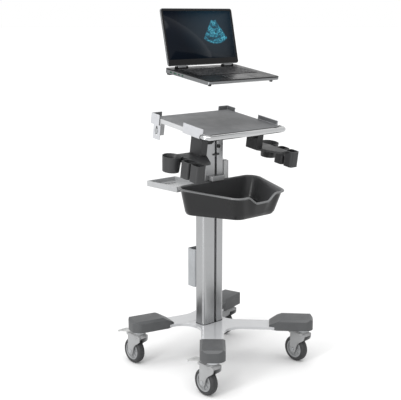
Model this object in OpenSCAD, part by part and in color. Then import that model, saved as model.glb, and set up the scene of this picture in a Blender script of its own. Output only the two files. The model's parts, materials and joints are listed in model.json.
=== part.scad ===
// Portable ultrasound machine: a laptop scanner above a trolley with a tilting tray,
// two probe holders, a basket and four braked swivel casters.
// +Z is up and -Y is the side the user stands on.

/* [Base] */
// Distance between the left and right caster stems
stem_span = 480; // [440:10:560]
// Distance from the column forward to the front caster stems
front_reach = 275; // [250:5:320]
// Distance from the column back to the rear caster stems
rear_reach = 135; // [120:5:180]
// Width of each arm of the base plate
arm_w = 84; // [80:2:90]
// Thickness of the base plate
plate_t = 10; // [8:1:12]
// Radius of the fillets between neighbouring arms
fillet_r = 72; // [50:2:80]

/* [Casters] */
// Radius of each wheel
wheel_r = 50; // [50:1:52]
// Distance that each wheel trails behind its stem
trail = 33; // [28:1:36]
// Width of each tyre
tyre_w = 30; // [26:1:32]
// Turn of each caster about its stem: at -90 its wheel trails towards the back
caster_turn = -90; // [-180:5:180]

/* [Column] */
// Width of the column, side to side
column_w = 104; // [90:2:120]
// Depth of the column, front to back
column_d = 52; // [44:2:60]
// Height of the column's top above the floor
column_top = 875; // [860:5:890]

/* [Tray] */
// Width of the tray, without its handle bar
tray_w = 376; // [370:2:390]
// Depth of the tray, without its handle bar
tray_d = 290; // [280:2:300]
// Thickness of the tray
tray_t = 16; // [14:1:18]
// Angle by which the tray leans towards the user
tray_tilt = 8.5; // [0:0.5:10]

/* [Laptop] */
// Width of the laptop
laptop_w = 352; // [340:2:356]
// Depth of the laptop
laptop_d = 237; // [230:1:240]
// Angle between the keyboard and the open screen
lid_open = 110.5; // [90:0.5:120]
// Height of the laptop's underside above the floor
laptop_z = 1106; // [1000:2:1130]

/* [Basket] */
// Width of the basket's back wall at its rim
basket_back_w = 386; // [370:2:390]
// Width of the basket's front wall at its rim
basket_front_w = 262; // [250:2:280]
// Depth of the basket at its rim
basket_d = 248; // [220:2:260]
// Height of the basket's floor above the ground
basket_z = 614; // [560:2:630]
// Height of the basket, floor to back rim
basket_h = 104; // [96:2:106]
// Drop of the rim from the back to the front
rim_drop = 18; // [0:2:24]

/* [Hidden] */
$fn = 64;
// Running clearance of a pin in its bore, on the radius
run_gap = 0.05;

// Distance of the column behind the middle of the footprint
column_y = 36;

// Base
plate_top = 154;
plate_z = plate_top - plate_t;
front_hub = [0, -17];
rear_hub = [0, 75];
stem_x = stem_span / 2;
// Corner order: front left, front right, rear left, rear right
STEMS = [
    [-stem_x, -front_reach],
    [stem_x, -front_reach],
    [-stem_x, rear_reach],
    [stem_x, rear_reach]
];
function hub_of(i) = i < 2 ? front_hub : rear_hub;
function arm_angle(i) = atan2(STEMS[i][1] - hub_of(i)[1], STEMS[i][0] - hub_of(i)[0]);
function arm_length(i) = norm(STEMS[i] - hub_of(i));
arm_past_stem = 12;
bolt_x = 38;
bolt_y = 14;
gasket_t = 2;

// Caster
head_r = 22;
head_z = 129;
stud_r = 6;
kingpin_r = 8;
axle_r = 4;
hub_r = 36;
leg_y = tyre_w / 2 + 1.5;
leg_t = 5;
crown_z = 110;
crown_top = 128;
crown_r = 26;
pedal_x = -50;
pedal_z = 119;
pedal_pin_r = 2.5;
pedal_len = 60;

// Bumper cover over the end of an arm, measured from its inner end
bumper_len = 168;
bumper_stem = 131;
bumper_w = 92;
bumper_low = 142;
bumper_top = 186;

// Column
column_wall = 3;
column_corner_r = 12;
column_foot_z = plate_top + gasket_t;
slot_x = 8;
slot_w = 11;
slot_inner_w = 19;
slot_depth = 9;

// Shelf frame: the middle of its front edge, and its size
shelf_x = -63;
shelf_y = 32;
shelf_z = 679.5;
shelf_w = 146;
shelf_d = 177;
shelf_h = 21;

// Tray: its own frame has its origin at the tilt pivot
pivot_z = 900;
tray_h = 46.5;
tray_back = 102;
tray_front = tray_back - tray_d;
tray_corner_r = 12;
tray_low = tray_h - tray_t;
mat_t = 1.5;
bar_depth = 20;
bar_h = 18;
bar_return = 6;
cap_t = 4;
cheek_x = 20;
cheek_t = 6;
lug_r = 12;
top_plate_t = 6;
tilt_pin_r = 5;

// Clamps on the tray
clamp_gap = 0.6;
clamp_t = 2.5;
clamp_back = -60;
clamp_len = 104;
clamp_up = 17;
clamp_foot_w = 24;

// Corner brackets: wall positions are outwards from the tray's rear corner
bracket_gap = 3.5;
bracket_t = 2.5;
bracket_behind = 12;
bracket_side_len = 46;
bracket_rear_len = 50;
bracket_up = 14;
bracket_drop = 26;
bracket_down = 78;
bracket_tab_w = 38;
bracket_slot_w = 10;
bracket_slot_h = 34;
post_w = 20;
post_d = 26;
post_h = 46;
post_screw_y = 77;
post_screw_z = tray_h - 46;
screw_r = 2.5;
head_screw_x = 45;
head_screw_y = 38;

// Probe holders
cup_top = tray_h - 92;
cup_x = 250;
cup_y = -83;
cup_bore_r = 27;
cup_top_r = 35;
cup_foot_r = 30;
cup_lead = 12;
cup_wall = 4;
cup_h = 56;
pocket_x = 239;
pocket_ys = [-161, -209];
pocket_w = 42;
pocket_h = 60;
hanger_x = 128;
hanger_w = 30;
hanger_front = -130;
hanger_back = -72;
holder_plate_t = 8;
holder_skirt = 22;
holder_skirt_t = 4;
knob_r = 17;
knob_len = 30;
knob_y = -112;
knob_z = tray_low - 24;
knob_stud_r = 4;
knob_flutes = 8;

// Laptop: its own frame has its origin at the middle of its underside
laptop_y = -68.5;
shell_h = 13;
deck_t = 4;
deck_z = shell_h + deck_t;
laptop_corner_r = 10;
underside_bevel = 14;
foot_h = 6;
hinge_y = laptop_d / 2 - 20;
hinge_z = deck_z + 3;
barrel_r = 4.8;
barrel_x = 96;
barrel_len = 38;
knuckle_len = 10;
hinge_pin_r = 2;
lid_t = 6.5;
lid_low = -1;
lid_start = 5.5;
lid_len = hinge_y + laptop_d / 2 - lid_start - 4;
bezel_side = 8;
bezel_top = 9;
bezel_bottom = 22;
key_pitch = 19;
key_size = 16.4;
key_rows = 6;
key_cols = 15;
well_w = key_cols * key_pitch + 2;
well_d = key_rows * key_pitch + 2;
well_y = 22;
well_floor = deck_z - 3;
pad_w = 106;
pad_d = 64;
pad_y = -80;
power_x = 158;
power_y = 96;
power_r = 5;
port_ys = [84, 62, 40, 22];
port_ws = [12, 16, 9, 9];
port_low = 4;
port_h = 6;
shell_t = 2;

// Basket
basket_x = -3;
basket_back = -column_d / 2 - 4;
basket_wall = 3;
basket_corner_r = 40;
basket_taper = 26;
basket_front_taper = 20;
rim_w = 7;
rim_t = 5;
notch_w = 140;
notch_slope = 46;
notch_depth = 26;

// ---------- shared shapes and places ----------

// Rectangle with round corners, centred on x and starting at y = 0
module rounded_plan(w, d, r) {
    translate([-w / 2 + r, 0]) square([w - 2 * r, d]);
    translate([-w / 2, r]) square([w, d - 2 * r]);
    for (x = [-w / 2 + r, w / 2 - r], y = [r, d - r])
        translate([x, y]) circle(r = r);
}

// A cylinder along X, from x = 0
module rod_x(r, h) {
    rotate([0, 90, 0]) cylinder(r = r, h = h);
}

// A cylinder along Y, centred on y = 0
module rod_y(r, h) {
    rotate([90, 0, 0]) cylinder(r = r, h = h, center = true);
}

// A profile drawn in x and z, h thick along y and centred on y = 0
module slab_xz(h) {
    rotate([90, 0, 0]) linear_extrude(h, center = true) children();
}

// The column's frame on the floor
module on_floor() {
    translate([0, column_y, 0]) children();
}

module at_stem(i) {
    on_floor() translate([STEMS[i][0], STEMS[i][1], 0]) children();
}

// Children in the frame of caster i, in which the wheel trails towards -X
module at_caster(i) {
    at_stem(i) rotate(caster_turn) children();
}

module in_tray() {
    on_floor() translate([0, 0, pivot_z]) rotate([tray_tilt, 0, 0]) children();
}

module in_laptop() {
    on_floor() translate([0, laptop_y, laptop_z]) rotate([tray_tilt, 0, 0]) children();
}

// The lid's frame: hinge line at the origin, closed lid along -Y, turned open
module in_lid() {
    in_laptop() translate([0, hinge_y, hinge_z]) rotate([-lid_open, 0, 0]) children();
}

// ---------- base ----------

function unit(a) = [cos(a), sin(a)];
function left_of(a) = [-sin(a), cos(a)];
// Where the line through p at angle a meets the line through q at angle b
function line_cross(p, a, q, b) =
    p + unit(a) * cross(q - p, unit(b)) / cross(unit(a), unit(b));

// Arm i as a flat outline, from behind its hub to just past its stem
module arm_outline(i) {
    translate(hub_of(i)) rotate(arm_angle(i)) translate([-40, -arm_w / 2])
        square([arm_length(i) + arm_past_stem + 40, arm_w]);
}

// Centre of the fillet between arm i and the next arm j counter-clockwise
function fillet_centre(i, j) =
    line_cross(hub_of(i) + (arm_w / 2 + fillet_r) * left_of(arm_angle(i)), arm_angle(i),
        hub_of(j) - (arm_w / 2 + fillet_r) * left_of(arm_angle(j)), arm_angle(j));

// Fills the corner between two arms, out to the fillet's centre
module arm_web(i, j) {
    centre = fillet_centre(i, j);
    polygon([(hub_of(i) + hub_of(j)) / 2, centre - fillet_r * left_of(arm_angle(i)), centre,
        centre + fillet_r * left_of(arm_angle(j))]);
}

module base_outline() {
    neighbours = [[0, 1], [1, 3], [3, 2], [2, 0]];
    difference() {
        union() {
            for (i = [0:3]) arm_outline(i);
            for (n = neighbours) arm_web(n[0], n[1]);
        }
        // A hair over the fillet's radius, so that each arc crosses its arm's edge cleanly
        for (n = neighbours) translate(fillet_centre(n[0], n[1])) circle(r = fillet_r + 0.05);
    }
}

module base_plate() {
    color("gainsboro") on_floor() difference() {
        translate([0, 0, plate_z]) linear_extrude(plate_t) base_outline();
        for (s = STEMS) translate([s[0], s[1], plate_z - 1]) cylinder(r = stud_r, h = plate_t + 2);
        for (x = [-bolt_x, bolt_x], y = [-bolt_y, bolt_y])
            translate([x, y, plate_z - 1]) cylinder(r = 4.5, h = plate_t + 2);
    }
}

// One cover: a side profile, a plan outline and an end profile that all have to agree
module bumper_solid() {
    intersection() {
        slab_xz(bumper_w)
            polygon([[0, bumper_low], [0, plate_top + 6], [48, bumper_top],
                [bumper_len, bumper_top], [bumper_len, bumper_low]]);
        translate([0, 0, bumper_low - 1]) linear_extrude(60) {
            translate([30, -bumper_w / 2]) square([bumper_len - 62, bumper_w]);
            translate([30, -bumper_w / 2 + 32]) square([bumper_len - 30, bumper_w - 64]);
            for (s = [-1, 1]) translate([bumper_len - 32, s * (bumper_w / 2 - 32)]) circle(r = 32);
            polygon([[0, -bumper_w / 2 + 12], [30, -bumper_w / 2], [30, bumper_w / 2],
                [0, bumper_w / 2 - 12]]);
        }
        rotate([90, 0, 90]) linear_extrude(bumper_len)
            polygon([[-bumper_w / 2, bumper_low], [-bumper_w / 2, bumper_top - 9],
                [-bumper_w / 2 + 9, bumper_top], [bumper_w / 2 - 9, bumper_top],
                [bumper_w / 2, bumper_top - 9], [bumper_w / 2, bumper_low]]);
        // The outer end's top edge is bevelled as well
        slab_xz(bumper_w)
            polygon([[0, 0], [0, bumper_top], [bumper_len - 9, bumper_top],
                [bumper_len, bumper_top - 9], [bumper_len, 0]]);
    }
}

module bumpers() {
    color("dimgray") for (i = [0:3]) at_stem(i) rotate(arm_angle(i))
        translate([-bumper_stem, 0, 0]) difference() {
            bumper_solid();
            translate([-1, -arm_w / 2, plate_z])
                cube([bumper_stem + arm_past_stem + 1, arm_w, plate_t]);
            // Open below the plate, round the caster's head
            translate([-1, -arm_w / 2 + 6, bumper_low - 1])
                cube([bumper_stem + head_r + 2, arm_w - 12, plate_z - bumper_low + 2]);
            translate([bumper_stem, 0, plate_top - 1]) cylinder(r = 13, h = 8);
        }
}

module caster_heads() {
    color("silver") for (i = [0:3]) at_stem(i) difference() {
        union() {
            translate([0, 0, head_z]) cylinder(r = head_r, h = plate_z - head_z);
            translate([0, 0, plate_z]) cylinder(r = stud_r, h = plate_t);
            translate([0, 0, plate_top]) cylinder(r = 10, h = 6, $fn = 6);
        }
        translate([0, 0, head_z - 1]) cylinder(r = kingpin_r + run_gap, h = 12.5);
    }
}

// Bolts into the four bosses at the column's foot and top
module column_bolts() {
    color("silver") on_floor() for (x = [-bolt_x, bolt_x], y = [-bolt_y, bolt_y]) {
        translate([x, y, plate_z]) {
            cylinder(r = 4, h = plate_t + gasket_t + 24);
            translate([0, 0, -6]) cylinder(r = 7.5, h = 6);
        }
        translate([x, y, column_top - 24]) {
            cylinder(r = 4, h = 24 + top_plate_t);
            translate([0, 0, 24 + top_plate_t]) cylinder(r = 6.5, h = 5);
        }
    }
}

// ---------- casters ----------

module fork(i) {
    color("darkgray") at_caster(i) difference() {
        union() {
            // Crown over the wheel
            translate([0, 0, crown_z]) cylinder(r = crown_r, h = crown_top - crown_z - 4);
            translate([0, 0, crown_top - 4]) cylinder(r = crown_r - 4, h = 4);
            translate([-43, -leg_y - leg_t, crown_z])
                cube([43, 2 * (leg_y + leg_t), crown_top - crown_z - 6]);
            translate([0, 0, crown_top - 1]) cylinder(r = kingpin_r, h = 12);
            // Legs down to the axle
            for (s = [-1, 1]) translate([0, s * (leg_y + leg_t / 2), 0]) {
                slab_xz(leg_t) {
                    polygon([[-trail - 14, wheel_r], [-46, crown_top - 7], [24, crown_top - 7],
                        [23, 101], [13, 93], [-3, 82], [-14, 69], [-trail + 13, wheel_r - 5]]);
                    translate([-trail, wheel_r]) circle(r = 14);
                }
                // Ear that carries the brake pedal
                slab_xz(leg_t) {
                    translate([pedal_x, pedal_z]) circle(r = 6);
                    translate([pedal_x, pedal_z - 6]) square([8, 12]);
                }
            }
        }
        translate([-trail, 0, wheel_r]) rod_y(axle_r, 60);
        translate([pedal_x, 0, pedal_z]) rod_y(pedal_pin_r + run_gap, 60);
    }
}

module axle(i) {
    color("silver") at_caster(i) translate([-trail, 0, wheel_r]) {
        rod_y(axle_r, 2 * (leg_y + leg_t));
        for (s = [-1, 1]) translate([0, s * (leg_y + leg_t + 1.5), 0]) rod_y(7.5, 3);
    }
}

module hub(i) {
    side = tyre_w / 2 - 1;
    color("lightgray") at_caster(i) translate([-trail, 0, wheel_r]) rotate([90, 0, 0])
        rotate_extrude()
            polygon([[axle_r + run_gap, -side - 1.5], [13, -side - 1.5], [15, -side + 1],
                [30, -side + 1], [32, -side - 0.5], [hub_r, -side - 0.5],
                [hub_r, side + 0.5], [32, side + 0.5], [30, side - 1], [15, side - 1],
                [13, side + 1.5], [axle_r + run_gap, side + 1.5]]);
}

module tyre(i) {
    crown = 28;
    color("dimgray") at_caster(i) translate([-trail, 0, wheel_r]) rotate([90, 0, 0])
        rotate_extrude() intersection() {
            translate([hub_r, -tyre_w / 2]) square([wheel_r - hub_r, tyre_w]);
            translate([wheel_r - crown, 0]) circle(r = crown);
        }
}

module pedal(i) {
    inner_w = 2 * leg_y - 2;
    color("gainsboro") at_caster(i) translate([pedal_x, 0, pedal_z]) {
        rod_y(pedal_pin_r, 2 * (leg_y + leg_t));
        rod_y(5, inner_w);
        // Foot plate, a little wider at its end, with a turned-down lip
        translate([0, 0, 1]) linear_extrude(4)
            polygon([[0, -inner_w / 2], [-16, -inner_w / 2], [-pedal_len, -22],
                [-pedal_len, 22], [-16, inner_w / 2], [0, inner_w / 2]]);
        translate([-pedal_len - 3, -22, -3]) cube([3, 44, 8]);
    }
}

// ---------- column and what it carries ----------

module slot_profile() {
    translate([slot_x - slot_w / 2, -column_d / 2 - 1]) square([slot_w, column_wall + 2]);
    translate([slot_x - slot_inner_w / 2, -column_d / 2 + column_wall])
        square([slot_inner_w, slot_depth - column_wall]);
}

module column_profile() {
    wall = column_wall;
    difference() {
        translate([0, -column_d / 2]) rounded_plan(column_w, column_d, column_corner_r);
        difference() {
            translate([0, -column_d / 2 + wall])
                rounded_plan(column_w - 2 * wall, column_d - 2 * wall, column_corner_r - wall);
            // Channel behind the slot, and the four screw bosses
            translate([slot_x - slot_inner_w / 2 - wall, -column_d / 2])
                square([slot_inner_w + 2 * wall, slot_depth + wall]);
            for (s = [-1, 1]) {
                translate([s * bolt_x - 7, -bolt_y - 9]) square([14, 16]);
                translate([s * bolt_x - 7, bolt_y - 7]) square([14, 16]);
            }
        }
        slot_profile();
        for (x = [-bolt_x, bolt_x], y = [-bolt_y, bolt_y]) translate([x, y]) circle(r = 4);
    }
}

module column() {
    color("silver") on_floor() translate([0, 0, column_foot_z])
        linear_extrude(column_top - column_foot_z) column_profile();
}

module column_gasket() {
    color("black") on_floor() translate([0, 0, plate_top]) linear_extrude(gasket_t)
        difference() {
            translate([0, -column_d / 2 - 0.8])
                rounded_plan(column_w + 1.6, column_d + 1.6, column_corner_r + 0.8);
            for (x = [-bolt_x, bolt_x], y = [-bolt_y, bolt_y])
                translate([x, y]) circle(r = 4.5);
        }
}

// Stop block in the column's slot with a socket screw above it
module slot_stop() {
    stop_z = 812;
    front = -column_d / 2;
    color("black") on_floor() {
        translate([slot_x - 16, front - 3, stop_z]) cube([32, 3, 7]);
        translate([slot_x - slot_w / 2 + 0.5, front, stop_z]) cube([slot_w - 1, 5, 7]);
        translate([slot_x + 13, front, stop_z + 33]) difference() {
            translate([0, -2.5, 0]) rod_y(7, 5);
            translate([0, -4, 0]) rod_y(3.5, 4, $fn = 6);
        }
    }
}

module rear_bin() {
    depth = 43;
    height = 150;
    wall = 3;
    color("slategray") on_floor() translate([0, column_d / 2, 296]) difference() {
        linear_extrude(height) rounded_plan(column_w, depth, 8);
        translate([0, wall, wall]) linear_extrude(height) rounded_plan(column_w - 2 * wall,
            depth - 2 * wall, 5);
    }
}

module side_box() {
    color("lightgray") on_floor() translate([column_w / 2, 0, 700]) {
        translate([12, -26, 0]) linear_extrude(86) rounded_plan(24, 52, 3);
        translate([12, -22, 86]) linear_extrude(2) rounded_plan(18, 44, 3);
    }
}

// Shallow shelf frame behind the column, out to its left, with a slotted floor
module side_frame() {
    wall = 5;
    color("gainsboro") on_floor() translate([shelf_x, shelf_y, shelf_z]) difference() {
        linear_extrude(shelf_h) rounded_plan(shelf_w, shelf_d, 4);
        translate([0, wall, wall]) linear_extrude(shelf_h)
            rounded_plan(shelf_w - 2 * wall, shelf_d - 2 * wall, 2);
        translate([-10, 130, -1]) cube([60, 18, wall + 2]);
    }
}

// Plate on the column's back that carries the shelf frame
module side_bracket() {
    color("silver") on_floor() translate([-45, column_d / 2, shelf_z])
        cube([50, shelf_y - column_d / 2, 70]);
}

// Outline of the basket at a share t of the way from its floor to its rim
module basket_ring(t, inset, h) {
    back_half = basket_back_w / 2 - basket_taper * (1 - t) - inset;
    front_half = basket_front_w / 2 - basket_taper * (1 - t) - inset;
    front = -basket_d + (1 - t) * basket_front_taper + inset;
    r = basket_corner_r - inset;
    linear_extrude(h) hull() for (s = [-1, 1]) {
        translate([s * (back_half - r), -inset - r]) circle(r = r, $fn = 32);
        translate([s * (front_half - r), front + r]) circle(r = r, $fn = 32);
    }
}

// The rim's outline at height z over its back edge, sloping down to the front
module rim_ring(z, inset, h) {
    multmatrix([[1, 0, 0, 0], [0, 1, 0, 0], [0, rim_drop / basket_d, 1, 0], [0, 0, 0, 1]])
        translate([0, 0, z]) basket_ring(1, inset, h);
}

module basket() {
    slice = 0.5;
    color([0.2, 0.2, 0.21]) on_floor() translate([basket_x, basket_back, basket_z])
        difference() {
            union() {
                hull() {
                    basket_ring(0, 7, slice);
                    translate([0, 0, 7]) basket_ring(0.08, 0, slice);
                    rim_ring(basket_h - slice, 0, slice);
                }
                difference() {
                    rim_ring(basket_h - rim_t, -rim_w, rim_t);
                    // Cut flat so that the rim clears the column
                    translate([-basket_back_w, 0, 0])
                        cube([2 * basket_back_w, 20, basket_h + 2]);
                }
            }
            hull() {
                translate([0, 0, basket_wall]) basket_ring(0, 7 + basket_wall, slice);
                translate([0, 0, 7 + basket_wall]) basket_ring(0.08, basket_wall, slice);
                rim_ring(basket_h + 1, basket_wall, slice);
            }
            // Finger notch in the middle of the front wall
            translate([0, -basket_d, basket_h - rim_drop]) slab_xz(60)
                polygon([[-notch_w / 2 - 4, 4], [-notch_w / 2 + notch_slope, -notch_depth],
                    [notch_w / 2 - notch_slope, -notch_depth], [notch_w / 2 + 4, 4]]);
        }
}

// Block over the basket's back rim, gripping the column's front slot
module basket_clamp() {
    top_z = basket_z + basket_h;
    front = -column_d / 2;
    color("silver") on_floor() {
        translate([-30, front - 24, top_z]) cube([60, 24, 20]);
        translate([slot_x - slot_w / 2 + 0.5, front, top_z]) cube([slot_w - 1, 5, 20]);
    }
}

// ---------- tilt joint and tray ----------

module tilt_bracket() {
    color("dimgray") on_floor() difference() {
        union() {
            translate([0, -column_d / 2 + 1, column_top]) linear_extrude(top_plate_t)
                rounded_plan(column_w - 4, column_d - 2, column_corner_r);
            for (s = [-1, 1]) translate([s * (cheek_x + cheek_t / 2), 0, 0]) rotate(90)
                slab_xz(cheek_t) {
                    translate([-lug_r - 2, column_top + top_plate_t])
                        square([2 * lug_r + 4, pivot_z - column_top - top_plate_t]);
                    translate([0, pivot_z]) circle(r = lug_r + 2);
                }
        }
        translate([-60, 0, pivot_z]) rod_x(tilt_pin_r, 120);
        for (x = [-bolt_x, bolt_x], y = [-bolt_y, bolt_y])
            translate([x, y, column_top - 1]) cylinder(r = 4, h = top_plate_t + 2);
    }
}

module tilt_pin() {
    half = cheek_x + cheek_t;
    color("silver") on_floor() translate([0, 0, pivot_z]) {
        translate([-half, 0, 0]) rod_x(tilt_pin_r, 2 * half);
        for (x = [-half - 3, half]) translate([x, 0, 0]) rod_x(9, 3);
    }
}

module tilt_head() {
    color("dimgray") in_tray() difference() {
        union() {
            rotate(90) slab_xz(2 * cheek_x - 1) {
                circle(r = lug_r);
                translate([-lug_r, 0]) square([2 * lug_r, tray_low - 6]);
            }
            translate([0, -50, tray_low - 6]) linear_extrude(6) rounded_plan(120, 100, 8);
        }
        translate([-60, 0, 0]) rod_x(tilt_pin_r + run_gap, 120);
        head_screw_holes();
    }
}

// Holes for the four screws that hold the tray to the tilt head
module head_screw_holes() {
    for (x = [-head_screw_x, head_screw_x], y = [-head_screw_y, head_screw_y])
        translate([x, y, tray_low - 7]) cylinder(r = screw_r, h = 17);
}

module tray() {
    color("whitesmoke") in_tray() difference() {
        union() {
            translate([0, tray_front, tray_low]) linear_extrude(tray_t)
                rounded_plan(tray_w, tray_d, tray_corner_r);
            // Posts at the rear corners, which the corner brackets slide on
            for (s = [-1, 1])
                translate([s * (tray_w - post_w) / 2 - post_w / 2,
                    tray_back - tray_corner_r - post_d, tray_low - post_h])
                    cube([post_w, post_d, post_h]);
        }
        head_screw_holes();
        for (s = [-1, 1]) translate([s * (tray_w / 2 - 6), post_screw_y, post_screw_z])
            rotate([0, 90, 0]) cylinder(r = screw_r, h = 14, center = true);
    }
}

module tray_screws() {
    head_in = tray_w / 2 + bracket_gap + bracket_t + 0.4;
    color("dimgray") in_tray() {
        for (x = [-head_screw_x, head_screw_x], y = [-head_screw_y, head_screw_y])
            translate([x, y, tray_low - 6]) {
                cylinder(r = screw_r, h = 14);
                translate([0, 0, -3]) cylinder(r = 5, h = 3);
            }
        for (s = [0, 1]) mirror([s, 0, 0]) translate([0, post_screw_y, post_screw_z]) {
            translate([tray_w / 2 - 12, 0, 0]) rod_x(screw_r, head_in - tray_w / 2 + 12);
            translate([head_in, 0, 0]) rod_x(9, 2.5);
        }
    }
}

module tray_mat() {
    color("darkgray") in_tray() translate([0, tray_front + 4, tray_h]) linear_extrude(mat_t)
        rounded_plan(tray_w - 8, tray_d - 8, tray_corner_r - 4);
}

// Section of the handle bar, x outwards from the tray's edge, with a groove beside the tray
module bar_section() {
    r = bar_h / 2;
    translate([0, -r]) square([bar_depth - r, bar_h - 3]);
    translate([3, -r]) square([bar_depth - r - 3, bar_h]);
    translate([bar_depth - r, 0]) circle(r = r);
}

// A length of the bar's section beside the tray's right edge, running forward from y
module bar_side(y, len) {
    translate([tray_w / 2, y, tray_h - tray_t / 2]) rotate([90, 0, 0]) linear_extrude(len)
        bar_section();
}

module handle_bar() {
    r = tray_corner_r;
    mid_z = tray_h - tray_t / 2;
    color("silver") in_tray() {
        translate([0, tray_front, mid_z]) rotate([90, 0, -90])
            linear_extrude(tray_w - 2 * r, center = true) bar_section();
        for (s = [0, 1]) mirror([s, 0, 0]) {
            translate([tray_w / 2 - r, tray_front + r, mid_z]) rotate(-90)
                rotate_extrude(angle = 90) translate([r, 0]) bar_section();
            bar_side(tray_front + r + bar_return, bar_return);
        }
    }
}

module handle_caps() {
    color("black") in_tray() for (s = [0, 1]) mirror([s, 0, 0])
        bar_side(tray_front + tray_corner_r + bar_return + cap_t, cap_t);
}

// ---------- clamps on the tray, drawn for the right side ----------

module clamp_shape() {
    inner = tray_w / 2 + clamp_gap;
    front = clamp_back - clamp_len;
    foot_top = tray_low - 0.5;
    translate([inner, front, foot_top - 3.5])
        cube([clamp_t, clamp_len, tray_h + clamp_up - foot_top + 3.5]);
    // Foot that slides under the tray
    translate([tray_w / 2 - 84, front + 4, foot_top - 3.5])
        cube([84 + clamp_gap, clamp_foot_w, 3.5]);
}

module right_clamp() {
    color("whitesmoke") in_tray() clamp_shape();
}

module left_clamp() {
    color("whitesmoke") in_tray() mirror([1, 0, 0]) clamp_shape();
}

// A slotted tab that slides on the tray's post, with two walls above it round the tray's corner
module bracket_shape() {
    tab_x = tray_w / 2 + bracket_gap;
    out = tab_x + bracket_t;
    rear = tray_back + bracket_behind;
    wall_z = tray_h - bracket_drop;
    tab_y = post_screw_y - bracket_tab_w / 2;
    wall_h = bracket_drop + bracket_up;
    difference() {
        union() {
            translate([tab_x, tab_y, tray_h - bracket_down])
                cube([bracket_t, bracket_tab_w, bracket_down - bracket_drop + bracket_t]);
            translate([out - bracket_t, rear - bracket_side_len, wall_z])
                cube([bracket_t, bracket_side_len, wall_h]);
            translate([out - bracket_rear_len, rear - bracket_t, wall_z])
                cube([bracket_rear_len, bracket_t, wall_h]);
        }
        // Slot that the post's screw runs in
        translate([tab_x - 1, post_screw_y - bracket_slot_w / 2,
            post_screw_z - bracket_slot_h / 2])
            cube([bracket_t + 2, bracket_slot_w, bracket_slot_h]);
    }
}

module right_bracket() {
    color("silver") in_tray() bracket_shape();
}

module left_bracket() {
    color("silver") in_tray() mirror([1, 0, 0]) bracket_shape();
}

// ---------- probe holders, drawn for the right side ----------

module holder_plan() {
    polygon([[hanger_x, hanger_back], [cup_x - cup_bore_r, hanger_back],
        [cup_x - cup_bore_r, -206], [hanger_x + 50, -206], [hanger_x, hanger_front]]);
}

module pocket(y) {
    translate([pocket_x, y - pocket_w / 2, cup_top - pocket_h]) difference() {
        linear_extrude(pocket_h) rounded_plan(pocket_w, pocket_w, 10);
        translate([0, cup_wall, cup_wall]) linear_extrude(pocket_h)
            rounded_plan(pocket_w - 2 * cup_wall, pocket_w - 2 * cup_wall, 7);
    }
}

module holder_shape() {
    plate_low = cup_top - holder_plate_t;
    difference() {
        union() {
            translate([hanger_x, hanger_front, plate_low])
                cube([hanger_w, hanger_back - hanger_front, tray_low - plate_low]);
            translate([0, 0, plate_low]) linear_extrude(holder_plate_t) holder_plan();
            // Skirt below the plate's outer part, from the cup to the pockets
            translate([cup_x - cup_bore_r - holder_skirt_t, -200, cup_top - holder_skirt])
                cube([holder_skirt_t, 118, holder_skirt - 1]);
            translate([cup_x, cup_y, cup_top - cup_h])
                cylinder(r1 = cup_foot_r, r2 = cup_top_r, h = cup_h);
        }
        translate([cup_x, cup_y, cup_top - cup_h + cup_wall]) cylinder(r = cup_bore_r, h = cup_h);
        translate([cup_x, cup_y, cup_top - cup_lead])
            cylinder(r1 = cup_bore_r, r2 = cup_top_r - 2, h = cup_lead + 0.01);
        translate([hanger_x - 1, knob_y, knob_z]) rod_x(knob_stud_r + run_gap, 24);
        for (y = pocket_ys) translate([pocket_x, y - pocket_w / 2 + 2, cup_top - pocket_h])
            linear_extrude(pocket_h + 1) rounded_plan(pocket_w - 4, pocket_w - 4, 9);
    }
    for (y = pocket_ys) pocket(y);
}

module right_holder() {
    color("dimgray") in_tray() holder_shape();
}

module left_holder() {
    color("dimgray") in_tray() mirror([1, 0, 0]) holder_shape();
}

module knob_shape() {
    translate([hanger_x, knob_y, knob_z]) {
        rod_x(knob_stud_r, 18);
        translate([-knob_len - 0.5, 0, 0]) rod_x(knob_stud_r, knob_len + 1);
        translate([-knob_len - 0.5, 0, 0]) difference() {
            rod_x(knob_r, knob_len);
            for (i = [0:knob_flutes - 1]) rotate([i * 360 / knob_flutes, 0, 0])
                translate([-1, 0, knob_r + 2]) rod_x(4.5, knob_len - 5);
        }
    }
}

module right_knob() {
    color("black") in_tray() knob_shape();
}

module left_knob() {
    color("black") in_tray() mirror([1, 0, 0]) knob_shape();
}

// ---------- laptop ----------

module laptop_outline() {
    translate([0, -laptop_d / 2]) rounded_plan(laptop_w, laptop_d, laptop_corner_r);
}

module laptop_base() {
    color("silver") in_laptop() difference() {
        intersection() {
            linear_extrude(shell_h) laptop_outline();
            // The underside rises towards the front edge
            rotate([90, 0, 90]) linear_extrude(laptop_w, center = true)
                polygon([[-laptop_d / 2, 6], [-laptop_d / 2 + underside_bevel, 0],
                    [laptop_d / 2, 0], [laptop_d / 2, shell_h], [-laptop_d / 2, shell_h]]);
        }
        translate([0, -laptop_d / 2 + underside_bevel, shell_t]) linear_extrude(shell_h)
            rounded_plan(laptop_w - 2 * shell_t, laptop_d - underside_bevel - shell_t,
                laptop_corner_r - shell_t);
        for (i = [0:len(port_ys) - 1])
            translate([-laptop_w / 2 - 1, port_ys[i] - port_ws[i] / 2, port_low])
                cube([shell_t + 2, port_ws[i], port_h]);
    }
}

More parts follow.
